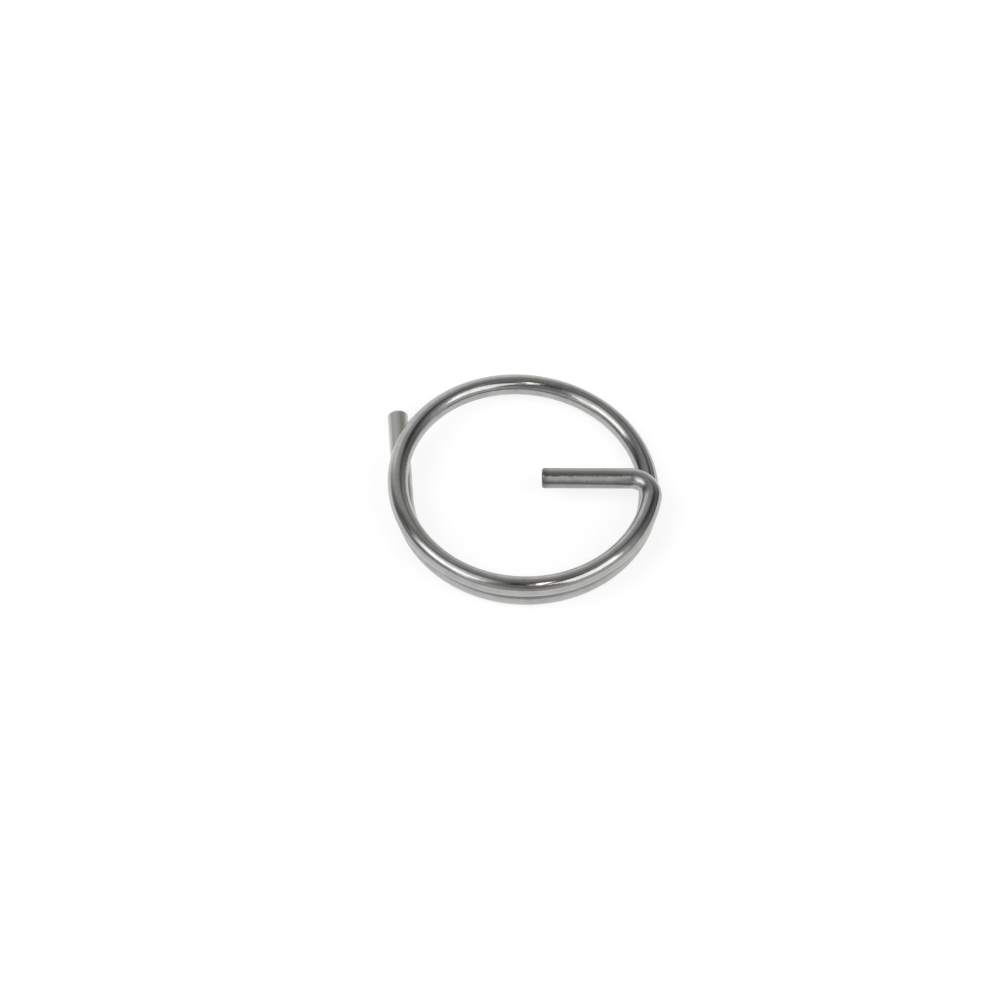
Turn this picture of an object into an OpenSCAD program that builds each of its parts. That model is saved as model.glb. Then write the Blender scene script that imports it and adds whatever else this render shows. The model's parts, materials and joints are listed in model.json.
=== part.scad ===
// Split ring: a single round wire with a straight tail, one and a half turns of
// coil and a leg bent in towards the middle, used to keep a cross-drilled pin in place.
// The ring lies flat on z = 0 with the leg along the X axis. All sizes are in millimetres.

/* [Wire] */
// Diameter of the wire
wire_d = 2; // [1.6:0.1:2.4]
// Rounding of the wire's two cut ends
end_round = 0.25; // [0.1:0.05:0.6]

/* [Coil] */
// Inside diameter of the upper front half turn, the widest one
coil_inside_d = 23; // [19:0.5:35]
// How much tighter the back half turn is than the upper one, in radius
back_tightening = 0.15; // [0.1:0.05:0.3]
// How much tighter the lower front half turn is than the back one, in radius
lower_tightening = 0.3; // [0.1:0.05:0.4]
// Height of the gap between the upper turn and the lower turn that it lies on
turn_gap = 0.08; // [0.08:0.02:0.5]
// Sweep of the upper front half turn, which stops short of the bend
upper_sweep = 166.5; // [150:0.1:172]

/* [Tail] */
// Length of the straight end beyond the coil
tail_len = 9.8; // [4:0.1:14]

/* [Leg] */
// Inside radius of the bend between coil and leg
bend_inside_r = 1.1; // [0.8:0.1:2.5]
// Angle of the bend
bend_angle = 99.8; // [92:0.2:108]
// Straight length of the leg beyond its bend
leg_len = 8.4; // [4:0.1:12]

/* [Hidden] */
wire_r = wire_d / 2;
upper_r = coil_inside_d / 2 + wire_r;
back_r = upper_r - back_tightening;
lower_r = back_r - lower_tightening;
bend_r = bend_inside_r + wire_r;
// The back half turn climbs by one wire, so it is tipped about the wire's own line
climb = wire_d + turn_gap;
climb_angle = asin(climb / (2 * back_r));
// Turns the ring about Z so that the leg runs along the X axis
leg_heading = 270 - upper_sweep - bend_angle;
// Facets round the wire and round a whole turn
wire_facets = 32;
turn_facets = 60;

// Each piece of the wire starts at the origin and runs along +Y. What follows it
// is drawn in the same way, in the frame of the piece's far end.

// Bends the wire to the left, by up to half a turn. The far end is cut square in its
// own frame, so that it meets the next piece exactly.
module bend(r, angle) {
    reach = 2 * (r + wire_d);
    translate([-r, 0, 0]) {
        intersection() {
            rotate_extrude(angle = 180, $fn = turn_facets)
                translate([r, 0])
                    circle(wire_r, $fn = wire_facets);
            rotate([0, 0, angle])
                translate([-reach / 2, -reach, -wire_d])
                    cube([reach, reach, 2 * wire_d]);
        }
        rotate([0, 0, angle]) translate([r, 0, 0]) children();
    }
}

// Turns what follows about the line of the wire
module roll(angle) {
    rotate([0, angle, 0]) children();
}

// Straight piece of wire
module straight(length) {
    rotate([-90, 0, 0]) cylinder(r = wire_r, h = length, $fn = wire_facets);
    translate([0, length, 0]) children();
}

// Cut end of the wire with its edge rounded
module cut_end() {
    rotate([-90, 0, 0]) rotate_extrude($fn = wire_facets) {
        square([wire_r - end_round, end_round]);
        intersection() {
            translate([wire_r - end_round, 0]) circle(end_round, $fn = wire_facets);
            square([wire_r, end_round]);
        }
    }
}

// The lower front half turn is centred on the Z axis and rests on z = 0
module ring() {
    color("silver")
    rotate([0, 0, 180 + leg_heading])
    translate([lower_r, -tail_len, wire_r])
    union() {
        rotate([0, 0, 180]) cut_end();
        straight(tail_len)
            bend(lower_r, 180)
            roll(climb_angle)
            bend(back_r, 180)
            roll(climb_angle)
            bend(upper_r, upper_sweep)
            bend(bend_r, bend_angle)
            straight(leg_len)
            cut_end();
    }
}

ring();
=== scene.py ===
"""Split ring: one bright drawn steel wire, with a coil, a straight tail and a leg bent in."""
import json
import math

import bmesh
import bpy
from mathutils import Matrix, Quaternion, Vector
from mathutils.kdtree import KDTree


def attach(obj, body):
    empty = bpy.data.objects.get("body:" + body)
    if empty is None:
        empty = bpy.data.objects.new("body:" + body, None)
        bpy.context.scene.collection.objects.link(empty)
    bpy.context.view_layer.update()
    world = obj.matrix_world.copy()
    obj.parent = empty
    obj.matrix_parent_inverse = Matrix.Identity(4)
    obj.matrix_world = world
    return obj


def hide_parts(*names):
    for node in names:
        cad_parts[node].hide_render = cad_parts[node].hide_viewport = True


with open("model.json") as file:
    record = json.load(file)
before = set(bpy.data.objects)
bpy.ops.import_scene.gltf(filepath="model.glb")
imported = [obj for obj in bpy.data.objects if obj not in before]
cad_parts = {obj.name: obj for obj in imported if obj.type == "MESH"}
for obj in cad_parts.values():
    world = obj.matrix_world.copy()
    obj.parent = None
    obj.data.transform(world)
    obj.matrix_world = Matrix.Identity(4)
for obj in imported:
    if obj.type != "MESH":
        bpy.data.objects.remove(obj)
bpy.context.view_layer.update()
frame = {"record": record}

MM = 0.001

# ------------------------------------------------------------------ sizes, in millimetres
LEG = next(mount for mount in frame["record"]["mounts"] if mount["name"] == "leg")
WIRE_R = LEG["dims"]["r_mm"]
LEG_LENGTH = LEG["dims"]["length_mm"]
TAIL_LENGTH = 9.8
END_ROUND = 0.25
LOWER_R = 12.05
BACK_R = 12.35
UPPER_R = 12.5
UPPER_SWEEP = 166.5
CLIMB = 2.08
BEND_R = 2.1
BEND_SWEEP = 99.8

CLIMB_ANGLE = math.degrees(math.asin(CLIMB / (2 * BACK_R)))
LEG_HEADING = 270 - UPPER_SWEEP - BEND_SWEEP

# Fineness of the wire's mesh
SIDES = 64
RING_SPACING = 0.32
BEND_RING_SPACING = 0.16
END_ROUND_STEPS = 6


# ------------------------------------------------------------------ the wire
class Wire:
    """A wire drawn out of its free end in edit mode, straight or bent to the left.

    place is the free end's frame in millimetres: the wire runs along its Y and bends
    towards its -X, in its XY plane. stations keeps a place for each ring of points.
    """

    def __init__(self, name, place):
        self.place = place
        self.length = 0.0
        self.rolled = 0.0
        self.stations = []
        bpy.ops.object.select_all(action="DESELECT")
        bpy.ops.mesh.primitive_circle_add(vertices=SIDES, radius=WIRE_R * MM, fill_type="NOTHING",
                                          rotation=(math.pi / 2, 0, 0))
        self.piece = bpy.context.object
        self.piece.name = self.piece.data.name = name
        self.piece.matrix_world = (Matrix.Scale(MM, 4) @ place @ Matrix.Scale(1 / MM, 4)
                                   @ self.piece.matrix_world)
        bpy.ops.object.transform_apply(location=True, rotation=True, scale=True)
        bpy.ops.object.mode_set(mode="EDIT")
        bpy.ops.mesh.select_mode(type="VERT")
        bpy.ops.mesh.select_all(action="SELECT")
        self.keep_station(place, 0.0)

    def keep_station(self, place, length):
        unrolled = place @ Matrix.Rotation(-self.rolled, 4, "Y")
        self.stations.append((unrolled, length))

    def point(self, right, along, up):
        """A point of the free end's frame, in metres."""
        return self.place @ Vector((right, along, up)) * MM

    def straight(self, length):
        steps = math.ceil(length / RING_SPACING)
        step = length / steps
        move = self.point(0, step, 0) - self.point(0, 0, 0)
        for _ in range(steps):
            bpy.ops.mesh.extrude_region_move(TRANSFORM_OT_translate={"value": move})
            self.place = self.place @ Matrix.Translation((0, step, 0))
            self.length += step
            self.keep_station(self.place, self.length)

    def bend(self, radius, sweep, spacing=RING_SPACING):
        """Bends the wire to the left, on a circle through the middle of the wire."""
        angle = math.radians(sweep)
        steps = math.ceil(radius * angle / spacing)
        up = (self.point(0, 0, 1) - self.point(0, 0, 0)).normalized()
        # Spin turns clockwise about its axis
        bpy.ops.mesh.spin(steps=steps, angle=angle, center=self.point(-radius, 0, 0), axis=-up)
        step = (Matrix.Translation((-radius, 0, 0)) @ Matrix.Rotation(angle / steps, 4, "Z")
                @ Matrix.Translation((radius, 0, 0)))
        for _ in range(steps):
            self.place = self.place @ step
            self.length += radius * angle / steps
            self.keep_station(self.place, self.length)

    def roll(self, angle):
        """Turns the plane of the next bend about the line of the wire."""
        self.rolled += math.radians(angle)
        self.place = self.place @ Matrix.Rotation(math.radians(angle), 4, "Y")

    def select_across(self, place, reach):
        """Selects the points that lie across the wire at a place, up to a distance from its middle."""
        close = 0.001
        to_place = place.inverted()
        mesh = bmesh.from_edit_mesh(self.piece.data)
        bpy.ops.mesh.select_all(action="DESELECT")
        for vert in mesh.verts:
            right, along, up = to_place @ (vert.co / MM)
            vert.select_set(abs(along) < close and math.hypot(right, up) < reach + close)
        mesh.select_flush(True)
        bmesh.update_edit_mesh(self.piece.data)

    def cut_end(self, place):
        """Closes the wire with a flat face at a place and rounds the edge of the cut."""
        self.select_across(place, WIRE_R)
        bpy.ops.mesh.edge_face_add()
        bpy.ops.mesh.bevel(offset=END_ROUND * MM, segments=END_ROUND_STEPS, affect="EDGES")
        face_r = WIRE_R - END_ROUND
        self.select_across(place, face_r)
        for _ in range(3):
            bpy.ops.mesh.inset(thickness=face_r / 4 * MM)
        bpy.ops.mesh.poke()

    def finish(self):
        """Closes both ends and gives the piece its shading and its "drawn" attribute."""
        self.cut_end(self.stations[0][0])
        self.cut_end(self.stations[-1][0])
        bpy.ops.mesh.select_all(action="SELECT")
        bpy.ops.mesh.remove_doubles(threshold=0.001 * MM)
        bpy.ops.mesh.normals_make_consistent(inside=False)
        bpy.ops.object.mode_set(mode="OBJECT")
        bpy.ops.object.shade_smooth()
        self.keep_drawn()
        return self.piece

    def keep_drawn(self):
        """Keeps where each point lay in the straight wire: across it in X and Y, and along it in Z."""
        nearest = KDTree(len(self.stations))
        for index, (place, _) in enumerate(self.stations):
            nearest.insert(place.translation, index)
        nearest.balance()
        to_station = [(place.inverted(), length) for place, length in self.stations]
        drawn = self.piece.data.attributes.new("drawn", "FLOAT_VECTOR", "POINT")
        for vert in self.piece.data.vertices:
            point = vert.co / MM
            to_place, length = to_station[nearest.find(point)[1]]
            right, along, up = to_place @ point
            drawn.data[vert.index].vector = (right, up, length + along)


def make_wire():
    # The tail ends at the back of the left side, and comes forward into the coil
    tail_end = (Matrix.Rotation(math.radians(180 + LEG_HEADING), 4, "Z")
                @ Matrix.Translation((LOWER_R, -TAIL_LENGTH - END_ROUND, WIRE_R)))
    wire = Wire("ring_wire", tail_end)
    wire.straight(END_ROUND + TAIL_LENGTH)
    wire.bend(LOWER_R, 180)
    wire.roll(CLIMB_ANGLE)
    wire.bend(BACK_R, 180)
    wire.roll(CLIMB_ANGLE)
    wire.bend(UPPER_R, UPPER_SWEEP)
    wire.bend(BEND_R, BEND_SWEEP, BEND_RING_SPACING)
    wire.straight(LEG_LENGTH + END_ROUND)
    return wire.finish(), wire.length


# ------------------------------------------------------------------ node maths
class Value:
    """A number that changes over a surface: a node's socket, with arithmetic on it."""

    def __init__(self, shader, socket):
        self.shader = shader
        self.socket = socket

    def __add__(self, other):
        return self.shader.maths("ADD", self, other)

    __radd__ = __add__

    def __mul__(self, other):
        return self.shader.maths("MULTIPLY", self, other)

    __rmul__ = __mul__

    def __sub__(self, other):
        return self.shader.maths("SUBTRACT", self, other)

    def __rsub__(self, other):
        return self.shader.maths("SUBTRACT", other, self)

    def ramp(self, low, high):
        """0 below low and 1 above high, with a soft step between them."""
        settings = {"interpolation_type": "SMOOTHSTEP"}
        return self.shader.node("ShaderNodeMapRange", settings,
                                {"Value": self, "From Min": low, "From Max": high})

    def zone(self, start, full, fade, end):
        """1 from full to fade and 0 outside start and end, with soft steps between them."""
        return self.ramp(start, full) * (1 - self.ramp(fade, end))


class Shader:
    """The nodes of one material or world."""

    # Places of the colour sockets on a Mix node
    FIRST_COLOUR = 6
    SECOND_COLOUR = 7
    MIXED_COLOUR = 2

    def __init__(self, owner):
        owner.use_nodes = True
        self.tree = owner.node_tree
        self.tree.nodes.clear()

    def node(self, kind, settings=None, inputs=None, output=0):
        """Adds a node with its settings and inputs and gives the output that is named."""
        node = self.tree.nodes.new(kind)
        for name, value in (settings or {}).items():
            setattr(node, name, value)
        for name, value in (inputs or {}).items():
            if isinstance(value, Value):
                self.tree.links.new(value.socket, node.inputs[name])
            else:
                node.inputs[name].default_value = value
        return Value(self, node.outputs[output]) if node.outputs else node

    def maths(self, operation, *values):
        return self.node("ShaderNodeMath", {"operation": operation}, dict(enumerate(values)))

    def scaled(self, vector, factors):
        """A vector with each of its axes multiplied by a factor."""
        return self.node("ShaderNodeVectorMath", {"operation": "MULTIPLY"}, {0: vector, 1: factors})

    def noise(self, vector, size, detail=3.0, roughness=0.5):
        """Soft noise of a size, or of a size for each axis, from 0 to 1."""
        sizes = size if isinstance(size, tuple) else (size, size, size)
        place = self.scaled(vector, tuple(1 / s for s in sizes))
        inputs = {"Vector": place, "Scale": 1.0, "Detail": detail, "Roughness": roughness}
        return self.node("ShaderNodeTexNoise", {"noise_dimensions": "3D"}, inputs)

    def colour_mix(self, amount, first, second):
        """The first colour where the amount is 0 and the second where it is 1."""
        inputs = {"Factor": amount, self.FIRST_COLOUR: first, self.SECOND_COLOUR: second}
        return self.node("ShaderNodeMix", {"data_type": "RGBA"}, inputs, output=self.MIXED_COLOUR)

    def bump(self, height, distance, normal=None):
        """Relief: a height of 1 stands proud by the distance, in metres."""
        inputs = {"Strength": 1.0, "Distance": distance, "Height": height}
        if normal:
            inputs["Normal"] = normal
        return self.node("ShaderNodeBump", None, inputs)


# ------------------------------------------------------------------ the wire's steel
# Straw and blue tones, which stainless wire takes from its heat treatment
STRAW = (0.452, 0.446, 0.425, 1.0)
BLUE = (0.440, 0.442, 0.445, 1.0)
# Steel dulled by handling, a pale colour painted on as light, a dark colour painted on as shade, and raw
# at the leg's tip
DULL = (0.345, 0.342, 0.334, 1.0)
PAINTED_LIGHT = (0.690, 0.684, 0.645, 1.0)
PAINTED_SHADE = (0.250, 0.246, 0.240, 1.0)
RAW = (0.170, 0.160, 0.150, 1.0)

# Depth of the wire's relief, in metres
WAVE_DEPTH = 0.000006
LINE_DEPTH = 0.0000012
GRIP_DEPTH = 0.000016
SHEAR_DEPTH = 0.00002
# Depth of the sheared faces' finish into the wire, and length of the leg's dark tip, in millimetres
CUT_DEPTH = 0.02
TIP_LENGTH = 0.9


def drawn_steel(wire_length):
    """Bright drawn stainless steel: fine lines along the wire, faint dull patches, sheared ends."""
    steel = bpy.data.materials.new("drawn_steel")
    shader = Shader(steel)
    drawn = shader.node("ShaderNodeAttribute", {"attribute_name": "drawn"}, output="Vector")
    right, up, along = (
        shader.node("ShaderNodeSeparateXYZ", inputs={"Vector": drawn}, output=axis) for axis in "XYZ")

    # Where the wire's parts begin along it
    back_start = TAIL_LENGTH + math.pi * LOWER_R
    upper_start = back_start + math.pi * BACK_R
    leg_start = wire_length - LEG_LENGTH
    tail = 1 - along.ramp(TAIL_LENGTH - 3.0, TAIL_LENGTH + 3.0)
    lower = 1 - along.ramp(back_start - 1.0, back_start + 1.0)
    side = along.zone(upper_start - 6.0, upper_start - 1.0, upper_start + 2.0, upper_start + 6.0)
    bend = along.zone(leg_start - 5.0, leg_start - 3.0, leg_start - 0.5, leg_start + 1.0)
    leg = along.ramp(leg_start - 1.0, leg_start + 1.5)
    tip = along.ramp(wire_length - TIP_LENGTH, wire_length - 0.1)
    cut = 1 - along.zone(CUT_DEPTH, 2 * CUT_DEPTH, wire_length - 2 * CUT_DEPTH, wire_length - CUT_DEPTH)

    # Marks of the drawing die, from broad to fine
    streaks = shader.noise(drawn, (0.20, 0.20, 7.0), detail=4.0)
    lines = shader.noise(drawn, (0.05, 0.05, 3.0), detail=2.0)
    # Dull patches from handling, and the slight waviness of a coiled wire
    patches = shader.noise(drawn, 1.7, detail=4.0, roughness=0.6)
    mottle = shader.noise(drawn, (0.42, 0.42, 0.7), detail=3.0)
    tones = shader.noise(drawn, (2.5, 2.5, 9.0), detail=2.0)
    # Painted shade: the lower turn is darkened where the upper one lies over it, and is rougher there
    contact_shade_marks = shader.noise(drawn, (0.5, 0.5, 1.1), detail=3.0)
    painted_contact_shade = lower * (up + 0.9 * contact_shade_marks).ramp(0.35, 1.2)
    # A rough scuffed line runs along the leg's upper side, where it slides in the pin's hole, and a
    # painted sheen makes it paler
    grip_marks = shader.noise(drawn, (0.6, 0.6, 0.3), detail=4.0, roughness=0.6)
    scuff_and_painted_sheen = leg * (0.86 * up - 0.51 * right + 0.08 * grip_marks).ramp(0.985, 1.05)
    # Each cut is burnished where the blade came in, and torn on the other side
    torn = (up + 0.25 * shader.noise(drawn, 0.3)).ramp(-0.12, 0.0)
    shear_lines = shader.noise(drawn, (0.05, 0.6, 0.05), detail=3.0)

    dulled = 0.6 * patches.ramp(0.35, 0.75) + 0.35 * mottle.ramp(0.4, 0.7)
    # Painted light: the tail, the left side, the leg's scuffed line and the lower turn are made paler
    painted_light_share = 0.8 * tail + 0.25 * side + 0.3 * scuff_and_painted_sheen + 0.08 * lower
    colour = shader.colour_mix(tones.ramp(0.4, 0.6), STRAW, BLUE)
    colour = shader.colour_mix(dulled, colour, DULL)
    colour = shader.colour_mix(painted_light_share, colour, PAINTED_LIGHT)
    # Painted shade: the lower turn under the upper one, and the leg on either side of its scuffed line,
    # are darkened
    colour = shader.colour_mix(0.2 * painted_contact_shade + 0.55 * (leg - scuff_and_painted_sheen), colour, PAINTED_SHADE)
    colour = shader.colour_mix(0.75 * tip, colour, RAW)
    colour = shader.colour_mix(cut * (0.2 + 0.3 * torn), colour, DULL)

    roughness = 0.08 + 0.05 * patches.ramp(0.35, 0.8) + 0.06 * streaks.ramp(0.35, 0.7)
    # The tail and the left side are matt, and the tight bend is grainy where the steel was stretched
    roughness = roughness + 0.18 * tail + 0.12 * side + 0.15 * painted_contact_shade
    roughness = roughness + 0.05 * leg + 0.09 * bend + 0.40 * scuff_and_painted_sheen
    roughness = roughness + cut * (0.05 + 0.20 * torn)

    normal = shader.bump(mottle + 0.6 * streaks, WAVE_DEPTH)
    normal = shader.bump(lines, LINE_DEPTH, normal)
    normal = shader.bump((0.3 * leg + scuff_and_painted_sheen) * grip_marks, GRIP_DEPTH, normal)
    normal = shader.bump(cut * (shear_lines + torn), SHEAR_DEPTH, normal)

    surface = shader.node("ShaderNodeBsdfPrincipled", inputs={
        "Base Color": colour, "Metallic": 1.0, "Roughness": roughness, "Normal": normal})
    shader.node("ShaderNodeOutputMaterial", inputs={"Surface": surface})
    return steel


# ------------------------------------------------------------------ the studio
# Brightness is given with 1 as white. Azimuth 0 is the back and 90 the right.
TENT_R = 1.6
TENT_FOOT = 0.6
TENT_TOP = 1.0
TENT_DARKEST = 0.04
TENT_BRIGHTEST = 2.6
# Shares of its reach at which a part of the tent begins to fade and is gone
TENT_PART_EDGE = (0.4, 1.3)
# Shades and bright openings: azimuth, elevation and reach in degrees, and the change in brightness
TENT_PARTS = {
    "shade at the right": (55, 20, 40, -0.50),
    "shade overhead": (15, 70, 45, -0.40),
    "shade at the left": (-90, 30, 35, -0.70),
    "shade round the camera": (175, 60, 35, -0.65),
    "shade low in front": (180, 0, 30, -0.15),
    "shade high at the back": (0, 55, 30, -0.35),
    "opening low at the left": (-100, 10, 25, 0.35),
    "opening high at the left": (-105, 60, 20, 1.00),
    "opening low at the back": (0, 15, 45, 0.40),
}
# The floor's own brightness and its paper's grey, and how far floor and tent reach below the ring
FLOOR_GLOW = 0.75
PAPER_GREY = (0.4, 0.4, 0.4, 1.0)
FLOOR_DROP = 0.01 * MM
TENT_DROP = 0.02 * MM
LAMP_DISTANCE = 0.8
# Name, azimuth, elevation and turn in degrees, width and height in metres, brightness and colour
LAMPS = (
    ("softbox_left", -115, 45, 0, 0.60, 0.40, 1.35, (1.0, 1.0, 1.0)),
    ("softbox_right", 125, 50, 0, 0.50, 0.45, 1.55, (1.0, 1.0, 1.0)),
    ("small_lamp", 155, 75, -25, 0.06, 0.30, 3.5, (1.0, 0.93, 0.92)),
)


def towards(azimuth, elevation):
    """A direction from the ring: azimuth 0 is the back, 90 the right."""
    a, e = math.radians(azimuth), math.radians(elevation)
    return Vector((math.sin(a) * math.cos(e), math.cos(a) * math.cos(e), math.sin(e)))


def seen_directly(shader):
    """1 for camera, glossy and transmission rays."""
    camera, glossy, transmission = (
        shader.node("ShaderNodeLightPath", output=ray)
        for ray in ("Is Camera Ray", "Is Glossy Ray", "Is Transmission Ray"))
    return camera + glossy + transmission


def make_floor():
    """A plain white floor that looks white by itself and still takes the ring's shadow."""
    bpy.ops.object.select_all(action="DESELECT")
    bpy.ops.mesh.primitive_circle_add(vertices=96, radius=TENT_R, fill_type="NGON",
                                      location=(0, 0, -FLOOR_DROP))
    floor = bpy.context.object
    floor.name = "studio_floor"
    bpy.ops.object.transform_apply(location=True, rotation=True, scale=True)
    paper = bpy.data.materials.new("white_paper")
    shader = Shader(paper)
    matt = shader.node("ShaderNodeBsdfDiffuse", inputs={"Color": PAPER_GREY})
    glow = shader.node("ShaderNodeEmission", inputs={"Strength": FLOOR_GLOW})
    bright = shader.node("ShaderNodeAddShader", inputs={0: matt, 1: glow})
    surface = shader.node("ShaderNodeMixShader", inputs={0: seen_directly(shader), 1: matt, 2: bright})
    shader.node("ShaderNodeOutputMaterial", inputs={"Surface": surface})
    floor.data.materials.append(paper)


def make_tent():
    """A grey tent round the set, which only the light and the reflections meet."""
    bpy.ops.object.select_all(action="DESELECT")
    bpy.ops.mesh.primitive_uv_sphere_add(segments=64, ring_count=32, radius=TENT_R)
    tent = bpy.context.object
    tent.name = "studio_tent"
    bpy.ops.object.mode_set(mode="EDIT")
    bpy.ops.mesh.select_all(action="SELECT")
    bpy.ops.mesh.bisect(plane_co=(0, 0, -TENT_DROP), plane_no=(0, 0, 1), clear_inner=True)
    bpy.ops.object.mode_set(mode="OBJECT")
    bpy.ops.object.shade_smooth()
    cloth = bpy.data.materials.new("grey_tent_cloth")
    shader = Shader(cloth)
    place = shader.scaled(shader.node("ShaderNodeTexCoord", output="Object"), (1 / TENT_R,) * 3)
    height = shader.node("ShaderNodeSeparateXYZ", inputs={"Vector": place}, output="Z")
    level = TENT_FOOT + (TENT_TOP - TENT_FOOT) * height.ramp(0.0, 1.0)
    for azimuth, elevation, reach, change in TENT_PARTS.values():
        nearness = shader.node("ShaderNodeVectorMath", {"operation": "DOT_PRODUCT"},
                               {0: place, 1: towards(azimuth, elevation)}, output="Value")
        full, end = (math.cos(math.radians(reach * share)) for share in TENT_PART_EDGE)
        level = level + change * nearness.ramp(end, full)
    level = shader.maths("MAXIMUM", level, TENT_DARKEST)
    dark = shader.node("ShaderNodeEmission", inputs={"Strength": 0.0})
    bright = shader.node("ShaderNodeEmission", inputs={"Strength": TENT_BRIGHTEST})
    share = level * (1 / TENT_BRIGHTEST)
    surface = shader.node("ShaderNodeMixShader", inputs={0: share, 1: dark, 2: bright})
    shader.node("ShaderNodeOutputMaterial", inputs={"Surface": surface})
    tent.data.materials.append(cloth)
    tent.visible_camera = False
    tent.visible_shadow = False


def make_lamp(name, azimuth, elevation, turn, width, height, brightness, colour):
    """A softbox that points at the ring."""
    lamp = bpy.data.lights.new(name, "AREA")
    lamp.shape = "RECTANGLE"
    lamp.size = width
    lamp.size_y = height
    lamp.energy = brightness * math.pi * width * height
    lamp.color = colour
    stand = bpy.data.objects.new(name, lamp)
    bpy.context.collection.objects.link(stand)
    direction = towards(azimuth, elevation)
    stand.location = direction * LAMP_DISTANCE
    turned = direction.to_track_quat("Z", "Y") @ Quaternion((0, 0, 1), math.radians(turn))
    stand.rotation_euler = turned.to_euler()
    stand.visible_camera = False


def make_room():
    """White all round, for what the floor and the tent leave open."""
    world = bpy.data.worlds.new("white_room")
    bpy.context.scene.world = world
    shader = Shader(world)
    dark = shader.node("ShaderNodeBackground", inputs={"Strength": 0.0})
    white = shader.node("ShaderNodeBackground", inputs={"Color": (1.0, 1.0, 1.0, 1.0)})
    surface = shader.node("ShaderNodeMixShader", inputs={0: seen_directly(shader), 1: dark, 2: white})
    shader.node("ShaderNodeOutputWorld", inputs={"Surface": surface})
    bpy.context.scene.view_settings.view_transform = "Standard"


def make_studio():
    make_room()
    make_floor()
    make_tent()
    for lamp in LAMPS:
        make_lamp(*lamp)


# ------------------------------------------------------------------ the camera
def make_camera():
    """A long lens that looks down at the ring from its front."""
    azimuth, elevation, roll = (math.radians(angle) for angle in (-0.079, 55.331, -0.324))
    distance = 900
    pixels_per_mm = 10.195
    centre_px = Vector((525.99, 492.85))
    image_px = 1000
    sensor = 36

    back = Vector((math.sin(azimuth) * math.cos(elevation),
                   -math.cos(azimuth) * math.cos(elevation), math.sin(elevation)))
    level = Vector((math.cos(azimuth), math.sin(azimuth), 0))
    upright = back.cross(level)
    right = math.cos(roll) * level - math.sin(roll) * upright
    up = math.sin(roll) * level + math.cos(roll) * upright
    offset = (centre_px - Vector((image_px / 2, image_px / 2))) / pixels_per_mm
    coil_centre = Vector((0, 0, WIRE_R))
    place = coil_centre - offset.x * right + offset.y * up + distance * back

    lens = bpy.data.cameras.new("camera")
    lens.sensor_width = sensor
    lens.lens = sensor * pixels_per_mm * distance / image_px
    lens.clip_start = 0.01
    lens.clip_end = 10
    camera = bpy.data.objects.new("camera", lens)
    bpy.context.collection.objects.link(camera)
    camera.matrix_world = Matrix.Translation(place * MM) @ Matrix((right, up, back)).transposed().to_4x4()
    bpy.context.scene.camera = camera


# ------------------------------------------------------------------ the scene
make_camera()
make_studio()
ring_wire, drawn_length = make_wire()
ring_wire.data.materials.append(drawn_steel(drawn_length))
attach(ring_wire, "root")
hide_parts("ring")
